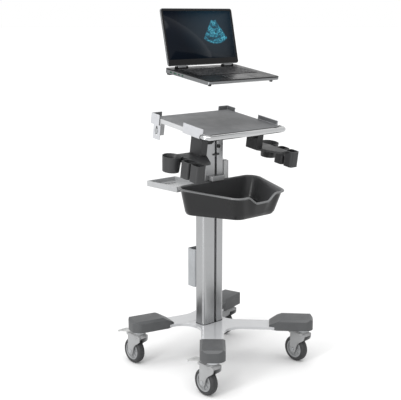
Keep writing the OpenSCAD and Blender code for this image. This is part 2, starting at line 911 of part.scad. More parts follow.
module laptop_deck() {
    color("dimgray") in_laptop() difference() {
        translate([0, 0, shell_h]) linear_extrude(deck_t) laptop_outline();
        translate([-well_w / 2, well_y - well_d / 2, well_floor]) cube([well_w, well_d, 5]);
        translate([-pad_w / 2 - 0.6, pad_y - pad_d / 2 - 0.6, deck_z - 1.8])
            cube([pad_w + 1.2, pad_d + 1.2, 4]);
        translate([power_x, power_y, deck_z - 3]) cylinder(r = power_r + 0.4, h = 5);
        for (s = [0, 1]) mirror([s, 0, 0])
            translate([barrel_x - 1, hinge_y, hinge_z]) rod_x(barrel_r + 1.2, barrel_len + 2);
    }
}

// One key cap: x and y are its centre, w its width
module key_cap(x, y, w, d) {
    translate([x - w / 2, y - d / 2, well_floor + 1.5]) cube([w, d, 2.7]);
}

module keys() {
    gap = key_pitch - key_size;
    space_first = 4;
    space_last = 9;
    color([0.12, 0.12, 0.13]) in_laptop() translate([0, well_y, 0]) {
        for (row = [0:key_rows - 1], col = [0:key_cols - 1])
            if (row > 0 || col < space_first || col > space_last)
                key_cap((col - (key_cols - 1) / 2) * key_pitch,
                    (row - (key_rows - 1) / 2) * key_pitch, key_size, key_size);
        key_cap(((space_first + space_last) - (key_cols - 1)) / 2 * key_pitch,
            -(key_rows - 1) / 2 * key_pitch,
            (space_last - space_first + 1) * key_pitch - gap, key_size);
    }
}

module touchpad() {
    color("dimgray") in_laptop()
        translate([-pad_w / 2, pad_y - pad_d / 2, deck_z - 1.2]) cube([pad_w, pad_d, 1.1]);
}

module power_button() {
    color("silver") in_laptop() translate([power_x, power_y, deck_z - 1.7])
        cylinder(r = power_r, h = 2.3);
}

module laptop_feet() {
    edge = laptop_w / 2 - 22;
    color("black") in_laptop() for (s = [-1, 1]) {
        translate([s * edge, -laptop_d / 2 + underside_bevel + 7, -foot_h])
            cylinder(r = 6, h = foot_h);
        translate([s * edge - 20, laptop_d / 2 - 22, -foot_h]) cube([40, 12, foot_h]);
    }
}

module mainboard() {
    color("seagreen") in_laptop() {
        translate([-laptop_w / 2 + shell_t, 14, shell_t]) cube([250, 84, 2]);
        for (i = [0:len(port_ys) - 1])
            translate([-laptop_w / 2 + 0.6, port_ys[i] - port_ws[i] / 2, port_low])
                cube([14, port_ws[i], port_h]);
    }
}

module battery() {
    color("black") in_laptop() translate([-120, -72, shell_t]) cube([240, 74, 8]);
}

// A fixed knuckle, standing on the deck
module knuckle() {
    r = barrel_r - 0.4;
    floor_z = deck_z - hinge_z;
    difference() {
        union() {
            rod_x(r, knuckle_len);
            translate([0, -r, floor_z]) cube([knuckle_len, 2 * r, -floor_z]);
        }
        translate([-1, -r - 1, floor_z - r]) cube([knuckle_len + 2, 2 * r + 2, r]);
    }
}

// Two knuckles at each hinge, with the pin that runs through the lid's barrel
module lid_hinges() {
    color("dimgray") in_laptop() translate([0, hinge_y, hinge_z])
        for (s = [0, 1]) mirror([s, 0, 0]) {
            for (x = [barrel_x - knuckle_len - 0.4, barrel_x + barrel_len + 0.4])
                translate([x, 0, 0]) knuckle();
            translate([barrel_x - knuckle_len - 0.4, 0, 0])
                rod_x(hinge_pin_r, barrel_len + 2 * knuckle_len + 0.8);
        }
}

module lid_shell() {
    glass_len = lid_len - bezel_top - bezel_bottom;
    color("silver") in_lid() difference() {
        union() {
            translate([0, -lid_start - lid_len, lid_low]) linear_extrude(lid_t)
                rounded_plan(laptop_w, lid_len, laptop_corner_r);
            for (s = [0, 1]) mirror([s, 0, 0]) {
                translate([barrel_x, 0, 0]) rod_x(barrel_r, barrel_len);
                translate([barrel_x, -lid_start - 3, lid_low]) cube([barrel_len, lid_start + 3, 5]);
            }
        }
        translate([-laptop_w / 2 + bezel_side, -lid_start - lid_len + bezel_top, lid_low - 1])
            cube([laptop_w - 2 * bezel_side, glass_len, 3]);
        for (s = [0, 1]) mirror([s, 0, 0])
            translate([barrel_x - 1, 0, 0]) rod_x(hinge_pin_r + run_gap, barrel_len + 2);
    }
}

module display() {
    glass_len = lid_len - bezel_top - bezel_bottom;
    color([0.03, 0.05, 0.08]) in_lid()
        translate([-laptop_w / 2 + bezel_side, -lid_start - lid_len + bezel_top, lid_low + 0.4])
            cube([laptop_w - 2 * bezel_side, glass_len, 1.6]);
}

base_plate();
bumpers();
caster_heads();
column_bolts();
column_gasket();
column();
slot_stop();
rear_bin();
side_box();
side_frame();
side_bracket();
basket();
basket_clamp();
tilt_bracket();
tilt_pin();
fork(0);  // fork_front_left
fork(1);  // fork_front_right
fork(2);  // fork_rear_left
fork(3);  // fork_rear_right
hub(0);  // hub_front_left
hub(1);  // hub_front_right
hub(2);  // hub_rear_left
hub(3);  // hub_rear_right
tyre(0);  // tyre_front_left
tyre(1);  // tyre_front_right
tyre(2);  // tyre_rear_left
tyre(3);  // tyre_rear_right
axle(0);  // axle_front_left
axle(1);  // axle_front_right
axle(2);  // axle_rear_left
axle(3);  // axle_rear_right
pedal(0);  // pedal_front_left
pedal(1);  // pedal_front_right
pedal(2);  // pedal_rear_left
pedal(3);  // pedal_rear_right
tilt_head();
tray();
tray_mat();
handle_bar();
handle_caps();
left_holder();
right_holder();
tray_screws();
left_knob();
right_knob();
left_clamp();
right_clamp();
left_bracket();
right_bracket();
laptop_base();
laptop_deck();
keys();
touchpad();
power_button();
laptop_feet();
mainboard();
battery();
lid_hinges();
lid_shell();
display();
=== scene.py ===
"""Looks of the portable ultrasound machine: materials, soft edges, fine detail, camera and light.

Everything is in metres, in the CAD model's frame: +Z up, -Y is the user's side.
"""
import json
import math

import bmesh
import bpy
from mathutils import Matrix, Vector


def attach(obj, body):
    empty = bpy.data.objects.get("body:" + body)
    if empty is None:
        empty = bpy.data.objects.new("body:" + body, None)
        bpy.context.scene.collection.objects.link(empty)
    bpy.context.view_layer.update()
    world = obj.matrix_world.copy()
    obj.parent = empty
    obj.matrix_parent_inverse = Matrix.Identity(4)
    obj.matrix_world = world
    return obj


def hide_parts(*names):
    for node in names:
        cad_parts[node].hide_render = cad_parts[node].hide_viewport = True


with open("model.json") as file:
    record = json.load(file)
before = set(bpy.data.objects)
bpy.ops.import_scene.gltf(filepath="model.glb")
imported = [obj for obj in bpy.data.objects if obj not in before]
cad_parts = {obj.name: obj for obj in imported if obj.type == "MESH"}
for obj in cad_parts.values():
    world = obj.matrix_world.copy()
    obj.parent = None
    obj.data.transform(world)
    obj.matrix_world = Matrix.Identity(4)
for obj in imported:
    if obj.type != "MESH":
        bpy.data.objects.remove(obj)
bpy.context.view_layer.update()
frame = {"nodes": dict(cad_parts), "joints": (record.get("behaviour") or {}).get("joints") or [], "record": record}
NODES = frame["nodes"]
CORNERS = ("front_left", "front_right", "rear_left", "rear_right")


# ---------- node trees ----------

BUMP_DEPTH = 0.0002


def add_node(tree, kind, inputs=None, **settings):
    """A shader node with its settings and its unlinked input values."""
    node = tree.nodes.new(kind)
    for name, value in settings.items():
        setattr(node, name, value)
    for name, value in (inputs or {}).items():
        node.inputs[name].default_value = value
    return node


def new_material(name, color, roughness, metallic=0.0, **shader_values):
    """A material with one Principled shader. Extra values go on the shader's own sockets."""
    material = bpy.data.materials.new(name)
    material.use_nodes = True
    tree = material.node_tree
    shader = tree.nodes["Principled BSDF"]
    shader.inputs["Base Color"].default_value = (*color, 1.0)
    shader.inputs["Roughness"].default_value = roughness
    shader.inputs["Metallic"].default_value = metallic
    for socket, value in shader_values.items():
        shader.inputs[socket.replace("_", " ").title().replace("Ior", "IOR")].default_value = value
    material.diffuse_color = (*color, 1.0)
    return material, tree, shader


def place(tree, scale=(1.0, 1.0, 1.0)):
    """Object coordinates, stretched: the output of a mapping node."""
    coords = add_node(tree, "ShaderNodeTexCoord")
    mapping = add_node(tree, "ShaderNodeMapping", {"Scale": scale})
    tree.links.new(coords.outputs["Object"], mapping.inputs["Vector"])
    return mapping.outputs["Vector"]


def noise(tree, vector, scale, detail, rough=0.5):
    """A noise texture's value output."""
    settings = {"Scale": scale, "Detail": detail, "Roughness": rough}
    node = add_node(tree, "ShaderNodeTexNoise", settings)
    tree.links.new(vector, node.inputs["Vector"])
    return node.outputs["Fac"]


def remap(tree, value, low, high, to_low, to_high):
    """value from [low, high] to [to_low, to_high]."""
    limits = {"From Min": low, "From Max": high, "To Min": to_low, "To Max": to_high}
    node = add_node(tree, "ShaderNodeMapRange", limits)
    tree.links.new(value, node.inputs["Value"])
    return node.outputs["Result"]


def math_node(tree, operation, *values):
    """A math node's output. Each value is a socket or a number."""
    node = add_node(tree, "ShaderNodeMath", operation=operation)
    for socket, value in zip(node.inputs, values):
        if isinstance(value, bpy.types.NodeSocket):
            tree.links.new(value, socket)
        else:
            socket.default_value = value
    return node.outputs["Value"]


def between(tree, value, low, high, soft):
    """1 where value lies between low and high, 0 outside, with soft edges."""
    rise = remap(tree, value, low - soft, low + soft, 0.0, 1.0)
    fall = remap(tree, value, high - soft, high + soft, 1.0, 0.0)
    return math_node(tree, "MULTIPLY", rise, fall)


def ramp(tree, value, stops):
    """Colours along a value: stops are (place, colour)."""
    node = add_node(tree, "ShaderNodeValToRGB")
    first, last = node.color_ramp.elements
    first.position, first.color = stops[0][0], (*stops[0][1], 1.0)
    last.position, last.color = stops[-1][0], (*stops[-1][1], 1.0)
    for position, color in stops[1:-1]:
        node.color_ramp.elements.new(position).color = (*color, 1.0)
    tree.links.new(value, node.inputs["Fac"])
    return node.outputs["Color"]


def bump(tree, shader, height, strength):
    """Relief on the shader from a height value."""
    node = add_node(tree, "ShaderNodeBump", {"Strength": strength, "Distance": BUMP_DEPTH})
    tree.links.new(height, node.inputs["Height"])
    tree.links.new(node.outputs["Normal"], shader.inputs["Normal"])


def vary_roughness(tree, shader, pattern, low, high):
    """Roughness that follows a noise pattern between two values."""
    tree.links.new(remap(tree, pattern, 0.3, 0.7, low, high), shader.inputs["Roughness"])


def mix_in(tree, base, color, share):
    """The base colour with a plain colour mixed in, as far as share says."""
    mix = add_node(tree, "ShaderNodeMixRGB", {"Color2": (*color, 1.0)})
    tree.links.new(share, mix.inputs["Fac"])
    tree.links.new(base, mix.inputs["Color1"])
    return mix.outputs["Color"]


def edge_wear(tree, shader, color, worn, amount):
    """Mixes a worn colour in where the surface is convex, broken up by noise."""
    pointy = add_node(tree, "ShaderNodeNewGeometry").outputs["Pointiness"]
    edge = remap(tree, pointy, 0.52, 0.62, 0.0, amount)
    patches = remap(tree, noise(tree, place(tree), 60.0, 4.0), 0.45, 0.65, 0.0, 1.0)
    rubbed = math_node(tree, "MULTIPLY", edge, patches)
    tree.links.new(mix_in(tree, color, worn, rubbed), shader.inputs["Base Color"])


def tinted(color, factor):
    """A colour made lighter or darker."""
    return tuple(min(1.0, channel * factor) for channel in color)


# ---------- materials ----------

def brushed_metal(name, color, roughness, grain, strength=0.06):
    """Metal with fine lines. grain is the noise's stretch: small along the brushing direction."""
    material, tree, shader = new_material(name, color, roughness, metallic=1.0)
    lines = noise(tree, place(tree, grain), 1.0, 3.0, 0.6)
    clouds = noise(tree, place(tree), 9.0, 3.0)
    cloudy = remap(tree, clouds, 0.3, 0.7, roughness - 0.11, roughness - 0.05)
    lined = math_node(tree, "MULTIPLY_ADD", lines, 0.16, cloudy)
    tree.links.new(lined, shader.inputs["Roughness"])
    tint = ramp(tree, lines, [(0.3, tinted(color, 0.93)), (0.7, tinted(color, 1.05))])
    edge_wear(tree, shader, tint, tinted(color, 1.2), 0.25)
    bump(tree, shader, lines, strength)
    return material


def paint(name, color, roughness, coat=0.3, peel=0.08):
    """Powder coat: orange peel, a clear coat and slightly rubbed edges."""
    material, tree, shader = new_material(name, color, roughness, Coat_Weight=coat,
                                          Coat_Roughness=0.12)
    peel_height = noise(tree, place(tree), 900.0, 2.0)
    clouds = noise(tree, place(tree), 14.0, 4.0)
    vary_roughness(tree, shader, clouds, roughness - 0.05, roughness + 0.07)
    tint = ramp(tree, clouds, [(0.3, tinted(color, 0.96)), (0.7, tinted(color, 1.03))])
    edge_wear(tree, shader, tint, tinted(color, 1.15), 0.35)
    bump(tree, shader, peel_height, peel)
    return material


def plastic(name, color, roughness, texture=1400.0, strength=0.15, coat=0.0, worn=None,
            shine=0.5):
    """Moulded plastic with a spark-eroded grain and slightly rubbed, paler edges."""
    material, tree, shader = new_material(name, color, roughness, Coat_Weight=coat,
                                          Coat_Roughness=0.2, Specular_IOR_Level=shine)
    grain = noise(tree, place(tree), texture, 3.0, 0.6)
    clouds = noise(tree, place(tree), 20.0, 4.0)
    vary_roughness(tree, shader, clouds, roughness - 0.06, roughness + 0.08)
    tint = ramp(tree, clouds, [(0.3, tinted(color, 0.92)), (0.7, tinted(color, 1.07))])
    edge_wear(tree, shader, tint, worn or tinted(color, 1.6), 0.4)
    bump(tree, shader, grain, strength)
    return material


def rubber(name, color, roughness):
    """Matte rubber with patches of pale dust."""
    material, tree, shader = new_material(name, color, roughness, Specular_IOR_Level=0.35)
    dust = noise(tree, place(tree), 35.0, 5.0, 0.65)
    dusty = ramp(tree, dust, [(0.35, color), (0.75, tinted(color, 1.9))])
    tree.links.new(dusty, shader.inputs["Base Color"])
    vary_roughness(tree, shader, dust, roughness - 0.08, roughness + 0.1)
    bump(tree, shader, noise(tree, place(tree), 1600.0, 2.0), 0.12)
    return material


def basket_material(name, color, inside_painted_light_color, rim_painted_highlight_color, roughness):
    """Moulded plastic with painted light: a paler inside standing for light falling into it from above, and a
    painted highlight on the rolled rim. The mesh marks both by attributes.
    """
    material, tree, shader = new_material(name, color, roughness, Coat_Weight=0.08,
                                          Coat_Roughness=0.12, Specular_IOR_Level=0.28)
    clouds = noise(tree, place(tree), 12.0, 4.0)
    vary_roughness(tree, shader, clouds, roughness - 0.05, roughness + 0.07)
    layers = ramp(tree, clouds, [(0.3, tinted(color, 0.9)), (0.7, tinted(color, 1.12))])
    # The inside mark carries painted light on the inner walls, and the rim mark carries a painted highlight along
    # the rolled rim.
    for attribute, marked_color in (("inside", inside_painted_light_color), ("rim", rim_painted_highlight_color)):
        mark = add_node(tree, "ShaderNodeAttribute", attribute_name=attribute)
        layers = mix_in(tree, layers, marked_color, mark.outputs["Fac"])
    tree.links.new(layers, shader.inputs["Base Color"])
    bump(tree, shader, noise(tree, place(tree), 900.0, 3.0, 0.6), 0.05)
    return material


SCAN_APEX = (0.074, -0.186)
SCAN_DEPTH = (0.018, 0.104)
SCAN_HALF_ANGLE = (0.60, 0.64)


def screen_picture():
    """Dark glass with a plain sector scan at its right, placed in the lid's frame.

    y grows down the screen, and the scan fans out downwards from its apex.
    """
    material, tree, shader = new_material("screen_picture", (0.002, 0.003, 0.005), 0.14,
                                          Specular_IOR_Level=0.07)
    coords = add_node(tree, "ShaderNodeSeparateXYZ")
    position = add_node(tree, "ShaderNodeTexCoord").outputs["Object"]
    tree.links.new(position, coords.inputs["Vector"])
    across = math_node(tree, "SUBTRACT", coords.outputs["X"], SCAN_APEX[0])
    down = math_node(tree, "SUBTRACT", coords.outputs["Y"], SCAN_APEX[1])
    across_squared = math_node(tree, "MULTIPLY", across, across)
    down_squared = math_node(tree, "MULTIPLY", down, down)
    squares = math_node(tree, "ADD", across_squared, down_squared)
    depth = math_node(tree, "SQRT", squares)
    angle = math_node(tree, "ARCTAN2", across, down)
    spread = math_node(tree, "ABSOLUTE", angle)
    in_depth = between(tree, depth, *SCAN_DEPTH, 0.0012)
    in_angle = remap(tree, spread, *SCAN_HALF_ANGLE, 1.0, 0.0)
    sector = math_node(tree, "MULTIPLY", in_depth, in_angle)
    polar = add_node(tree, "ShaderNodeCombineXYZ")
    tree.links.new(math_node(tree, "MULTIPLY", depth, 340.0), polar.inputs["X"])
    tree.links.new(math_node(tree, "MULTIPLY", angle, 9.0), polar.inputs["Y"])
    fine = noise(tree, polar.outputs["Vector"], 1.0, 3.0, 0.7)
    coarse = noise(tree, polar.outputs["Vector"], 0.16, 2.0)
    speckle = remap(tree, fine, 0.40, 0.62, 0.08, 1.0)
    layers = remap(tree, coarse, 0.38, 0.58, 0.30, 1.0)
    echo = math_node(tree, "MULTIPLY", math_node(tree, "MULTIPLY", speckle, layers), sector)
    glow = remap(tree, depth, 0.03, 0.19, 0.10, 0.0)
    light = math_node(tree, "MAXIMUM", echo, glow)
    color = ramp(tree, light, [(0.0, (0.002, 0.003, 0.005)), (0.12, (0.004, 0.018, 0.030)),
                               (0.5, (0.010, 0.16, 0.24)), (1.0, (0.12, 0.55, 0.68))])
    tree.links.new(color, shader.inputs["Emission Color"])
    shader.inputs["Emission Strength"].default_value = 1.15
    return material


FINE_ALONG_Z = (2600.0, 2600.0, 14.0)
FINE_ALONG_X = (14.0, 2600.0, 2600.0)
FINE_ALL = (900.0, 900.0, 900.0)

MATERIALS = {
    "base_paint": paint("base_paint", (0.36, 0.365, 0.375), 0.16, coat=0.8, peel=0.03),
    "bumper_plastic": plastic("bumper_plastic", (0.050, 0.052, 0.054), 0.5, texture=900.0,
                              strength=0.3),
    "zinc_steel": brushed_metal("zinc_steel", (0.42, 0.43, 0.44), 0.34, FINE_ALL),
    "black_rubber": rubber("black_rubber", (0.012, 0.012, 0.013), 0.7),
    "column_aluminium": brushed_metal("column_aluminium", (0.36, 0.365, 0.37), 0.30,
                                      FINE_ALONG_Z),
    "black_plastic": plastic("black_plastic", (0.012, 0.012, 0.013), 0.42),
    "bin_plastic": plastic("bin_plastic", (0.27, 0.28, 0.29), 0.45),
    "box_plastic": plastic("box_plastic", (0.58, 0.585, 0.59), 0.45),
    "frame_paint": paint("frame_paint", (0.30, 0.305, 0.31), 0.3),
    "satin_aluminium": brushed_metal("satin_aluminium", (0.42, 0.425, 0.43), 0.36, FINE_ALONG_X),
    # The basket's paler inside and rim colours are painted light and a painted highlight.
    "basket_plastic": basket_material("basket_plastic", (0.0045, 0.0047, 0.0052),
                                      (0.055, 0.056, 0.058), (0.12, 0.122, 0.125), 0.30),
    "dark_paint": paint("dark_paint", (0.035, 0.035, 0.038), 0.4, coat=0.1),
    "tray_paint": paint("tray_paint", (0.38, 0.385, 0.39), 0.3),
    "mat_grey": plastic("mat_grey", (0.095, 0.098, 0.102), 0.46, texture=1100.0, strength=0.25),
    "polished_aluminium": brushed_metal("polished_aluminium", (0.50, 0.505, 0.51), 0.15,
                                        FINE_ALONG_X, 0.02),
    "holder_plastic": plastic("holder_plastic", (0.021, 0.0215, 0.0225), 0.42, texture=1000.0,
                              strength=0.2, shine=0.4),
    "clamp_paint": paint("clamp_paint", (0.37, 0.375, 0.39), 0.28, coat=0.4),
    "fork_paint": plastic("fork_paint", (0.25, 0.253, 0.256), 0.36, texture=1200.0,
                          strength=0.1),
    "hub_plastic": plastic("hub_plastic", (0.22, 0.225, 0.23), 0.42),
    "tyre_rubber": rubber("tyre_rubber", (0.022, 0.0225, 0.0235), 0.55),
    "pedal_plastic": plastic("pedal_plastic", (0.33, 0.333, 0.33), 0.35, strength=0.08,
                             coat=0.15),
    "laptop_silver": brushed_metal("laptop_silver", (0.20, 0.205, 0.21), 0.34, FINE_ALL, 0.05),
    "deck_black": plastic("deck_black", (0.005, 0.005, 0.0055), 0.3, texture=1500.0,
                          strength=0.08, shine=0.16),
    "key_plastic": plastic("key_plastic", (0.011, 0.011, 0.012), 0.42, texture=2000.0,
                           strength=0.1, worn=(0.12, 0.12, 0.125), shine=0.25),
    "pad_black": plastic("pad_black", (0.012, 0.012, 0.013), 0.3, strength=0.03, shine=0.3),
    "board_green": plastic("board_green", (0.012, 0.05, 0.028), 0.35, strength=0.03),
    "screen_glass": screen_picture(),
}


# ---------- CAD nodes ----------

SLOT_OF = {row["node"]: row["material_slot"] for row in frame["record"]["subparts"]}
WELD_DISTANCE = 0.00001
FLAT_ANGLE = math.radians(0.4)
BEVEL_ANGLE = math.radians(30)


def round_edges(piece, width, segments=2):
    """Bevels every edge that bends more than BEVEL_ANGLE."""
    edges = piece.modifiers.new("edges", "BEVEL")
    edges.width = width
    edges.segments = segments
    edges.limit_method = "ANGLE"
    edges.angle_limit = BEVEL_ANGLE
    edges.harden_normals = True
    edges.use_clamp_overlap = True


def finish_node(node, bevel):
    """Rounds a CAD node's edges with modifiers and gives it its slot's material."""
    piece = NODES[node]
    mesh = piece.data
    if "custom_normal" in mesh.attributes:
        mesh.attributes.remove(mesh.attributes["custom_normal"])
    mesh.materials.clear()
    mesh.materials.append(MATERIALS[SLOT_OF[node]])
    mesh.shade_smooth()
    weld = piece.modifiers.new("weld", "WELD")
    weld.merge_threshold = WELD_DISTANCE
    planar = piece.modifiers.new("planar", "DECIMATE")
    planar.decimate_type = "DISSOLVE"
    planar.angle_limit = FLAT_ANGLE
    if bevel:
        round_edges(piece, bevel)


# Edge radius of each CAD node.
BEVELS = {
    "base_plate": 0.0025, "bumpers": 0.0035, "caster_heads": 0.001, "column_bolts": 0.0006,
    "column_gasket": 0.0004, "column": 0.0006, "slot_stop": 0.0006, "rear_bin": 0.0012,
    "side_box": 0.0015, "side_frame": 0.001, "side_bracket": 0.0015, "basket": 0.001,
    "basket_clamp": 0.002, "tilt_bracket": 0.001, "tilt_pin": 0.0006, "tilt_head": 0.001,
    "tray": 0.0015, "tray_mat": 0.0006, "handle_bar": 0.0008, "handle_caps": 0.0008,
    "left_holder": 0.0016, "right_holder": 0.0016, "tray_screws": 0.0005, "left_knob": 0.0012,
    "right_knob": 0.0012, "left_clamp": 0.0008, "right_clamp": 0.0008, "left_bracket": 0.0008,
    "right_bracket": 0.0008, "laptop_base": 0.0012, "laptop_deck": 0.0008, "keys": 0.0006,
    "touchpad": 0.0003, "power_button": 0.0004, "laptop_feet": 0.001, "mainboard": 0.0,
    "battery": 0.001, "lid_hinges": 0.0005, "lid_shell": 0.0012, "display": 0.0002,
}
for corner in CORNERS:
    BEVELS |= {f"fork_{corner}": 0.0012, f"hub_{corner}": 0.001, f"tyre_{corner}": 0.0015,
               f"axle_{corner}": 0.0007, f"pedal_{corner}": 0.001}


# ---------- local frames ----------

JOINTS = {joint["name"]: joint for joint in frame["joints"]}


def joint_place(name):
    """A joint's point at rest."""
    return Vector(JOINTS[name]["pos_m"])


TRAY_NORMAL = JOINTS["left_bracket_slide"]["axis"]
LEAN = math.atan2(-TRAY_NORMAL[1], TRAY_NORMAL[2])
LID_ANGLE = math.radians(JOINTS["lid_hinge"]["range_deg"][1])
PIVOT = joint_place("tray_tilt")
HINGE_TO_LAPTOP = (0.0, -0.0985, -0.020)

# Where the pieces' own frames stand: the column on the floor, the tray, the laptop's base and
# the lid.
COLUMN = Matrix.Translation((PIVOT.x, PIVOT.y, 0.0))
TRAY = Matrix.Translation(PIVOT) @ Matrix.Rotation(LEAN, 4, "X")
HINGE = Matrix.Translation(joint_place("lid_hinge")) @ Matrix.Rotation(LEAN, 4, "X")
LAPTOP = HINGE @ Matrix.Translation(HINGE_TO_LAPTOP)
LID = HINGE @ Matrix.Rotation(-LID_ANGLE, 4, "X")

# Turns that lay a shape's own Z along X, or along -Y.
ALONG_X = Matrix.Rotation(math.radians(90), 4, "Y")
UPRIGHT = Matrix.Rotation(math.radians(90), 4, "X")


# ---------- mesh building ----------

MERGE_DISTANCE = 0.000002


def make_piece(name, bm, slot, body, at, bevel=0.0, segments=2, stands_for=()):
    """A finished object from a bmesh drawn in the frame `at`."""
    bmesh.ops.remove_doubles(bm, verts=bm.verts, dist=MERGE_DISTANCE)
    bmesh.ops.recalc_face_normals(bm, faces=bm.faces)
    mesh = bpy.data.meshes.new(name)
    bm.to_mesh(mesh)
    bm.free()
    mesh.materials.append(MATERIALS[slot])
    mesh.shade_smooth()
    piece = bpy.data.objects.new(name, mesh)
    bpy.context.scene.collection.objects.link(piece)
    piece.matrix_world = at
    if bevel:
        round_edges(piece, bevel, segments)
    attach(piece, body)
    if stands_for:
        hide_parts(*stands_for)


def add_ring(bm, points):
    """New vertices at the points."""
    return [bm.verts.new(point) for point in points]


def add_skin(bm, rings, capped=True):
    """Quads from each ring to the next, and a face over both ends if capped."""
    for first, second in zip(rings, rings[1:]):
        count = len(first)
        for k in range(count):
            n = (k + 1) % count
            bm.faces.new((first[k], first[n], second[n], second[k]))
    if capped:
        bm.faces.new(list(reversed(rings[0])))
        bm.faces.new(rings[-1])


def add_lathe(bm, profile, steps, at=None):
    """Turns (radius, height) points about Z. A profile that isn't a loop gets capped ends."""
    at = at or Matrix.Identity(4)
    rings = []
    for radius, height in profile:
        ring = []
        for k in range(steps):
            angle = 2 * math.pi * k / steps
            ring.append(at @ Vector((radius * math.cos(angle), radius * math.sin(angle), height)))
        rings.append(add_ring(bm, ring))
    add_skin(bm, rings, capped=profile[0] != profile[-1])


def add_prism(bm, outline, low, high, at=None):
    """A plan outline of (x, y) points, raised from low to high."""
    at = at or Matrix.Identity(4)
    bottom = add_ring(bm, [at @ Vector((x, y, low)) for x, y in outline])
    top = add_ring(bm, [at @ Vector((x, y, high)) for x, y in outline])
    add_skin(bm, [bottom, top])


def add_frame(bm, outer, inner, low, high):
    """A flat frame between two outlines with the same number of points."""
    loops = []
    for outline, level in ((outer, low), (outer, high), (inner, high), (inner, low), (outer, low)):
        loops.append(add_ring(bm, [(x, y, level) for x, y in outline]))
    add_skin(bm, loops, capped=False)


def add_box(bm, low, high, at=None):
    """A box between its lowest and its highest corner."""
    outline = [(low[0], low[1]), (high[0], low[1]), (high[0], high[1]), (low[0], high[1])]
    add_prism(bm, outline, low[2], high[2], at)


def span(side, inner, outer):
    """Both ends, in order, of the stretch from inner to outer on one side, -1 or 1."""
    return sorted((side * inner, side * outer))


def add_side_box(bm, side, low, high):
    """A box given for the right side, mirrored in x if side is -1."""
    left, right = span(side, low[0], high[0])
    add_box(bm, (left, *low[1:]), (right, *high[1:]))


def arc(centre, radius, start, end, steps):
    """Points on an arc, angles in degrees."""
    points = []
    for k in range(steps + 1):
        angle = math.radians(start + (end - start) * k / steps)
        points.append((centre[0] + radius * math.cos(angle),
                       centre[1] + radius * math.sin(angle)))
    return points


def rounded_outline(left, right, front, back, radius, steps=6):
    """A rectangle with round corners, counter-clockwise from its right side."""
    corners = [(right - radius, back - radius, 0), (left + radius, back - radius, 90),
               (left + radius, front + radius, 180), (right - radius, front + radius, 270)]
    points = []
    for x, y, start in corners:
        points += arc((x, y), radius, start, start + 90, steps)
    return points


def bezier(controls, steps):
    """Points on a cubic curve with four (x, y) control points, both ends included."""
    points = []
    for k in range(steps + 1):
        t = k / steps
        weights = ((1 - t) ** 3, 3 * t * (1 - t) ** 2, 3 * t * t * (1 - t), t ** 3)
        pairs = list(zip(weights, controls))
        points.append((sum(weight * x for weight, (x, y) in pairs),
                       sum(weight * y for weight, (x, y) in pairs)))
    return points


# ---------- casters ----------

WHEEL_R = 0.050
TYRE_HALF = 0.015
GROOVE_DEPTH = 0.0009
HUB_R = 0.036
RIBS = 8
LEG_INNER = 0.0165
LEG_OUTER = 0.0215
AXLE = (-0.033, 0.050)
EAR_PLACE = (-0.050, 0, 0.119)
PEDAL_SLOPE = 0.16
PEDAL_SLOPE_START = -0.006
CASTER_TURN = Matrix.Rotation(math.radians(-90), 4, "Z")


def make_tyre(corner):
    """Rounded tread with two shallow grooves."""
    profile = []
    steps = 40
    for k in range(steps + 1):
        across = -1 + 2 * k / steps
        radius = HUB_R + (WHEEL_R - HUB_R) * (1 - abs(across) ** 3.4) ** (1 / 2.6)
        if 0.30 < abs(across) < 0.38:
            radius -= GROOVE_DEPTH
        profile.append((radius, across * TYRE_HALF))
    profile.append(profile[0])
    bm = bmesh.new()
    add_lathe(bm, profile, 72)
    at = Matrix.Translation(joint_place(f"wheel_{corner}")) @ ALONG_X
    make_piece(f"tread_{corner}", bm, "tyre_rubber", f"wheel_{corner}", at,
               stands_for=[f"tyre_{corner}"])


def make_hub(corner):
    """Dished disc with a rim, a bearing boss and eight ribs on each face."""
    profile = [(0.0042, -0.0155), (0.011, -0.0155), (0.0125, -0.0145), (0.0135, -0.009),
               (0.0285, -0.0085), (0.0305, -0.0135), (0.0315, -0.0144), (0.0345, -0.0144),
               (HUB_R - 0.0001, -0.0132)]
    profile += [(radius, -height) for radius, height in reversed(profile)]
    profile.append(profile[0])
    bm = bmesh.new()
    add_lathe(bm, profile, 64)
    for k in range(RIBS):
        turn = Matrix.Rotation(2 * math.pi * k / RIBS, 4, "Z")
        for side in (-1, 1):
            low, high = span(side, 0.0080, 0.0118)
            add_box(bm, (0.0128, -0.0013, low), (0.0296, 0.0013, high), turn)
    at = Matrix.Translation(joint_place(f"wheel_{corner}")) @ ALONG_X
    make_piece(f"wheel_disc_{corner}", bm, "hub_plastic", f"wheel_{corner}", at, bevel=0.0005,
               stands_for=[f"hub_{corner}"])


def fork_outline():
    """One leg from the side: down the back edge, round the axle and up the front edge."""
    back = [(-0.0468, 0.110), (-0.0476, 0.090), (-0.0475, 0.068), (-0.0469, 0.0515)]
    front = [(-0.0180, 0.054), (-0.012, 0.084), (0.006, 0.083), (0.0215, 0.0990)]
    points = [(-0.0455, 0.1215)]
    points += bezier(back, 8)
    points += arc(AXLE, 0.014, 180, 340, 12)
    points += bezier(front, 10)
    points += [(0.0238, 0.1080), (0.0240, 0.1215)]
    return points


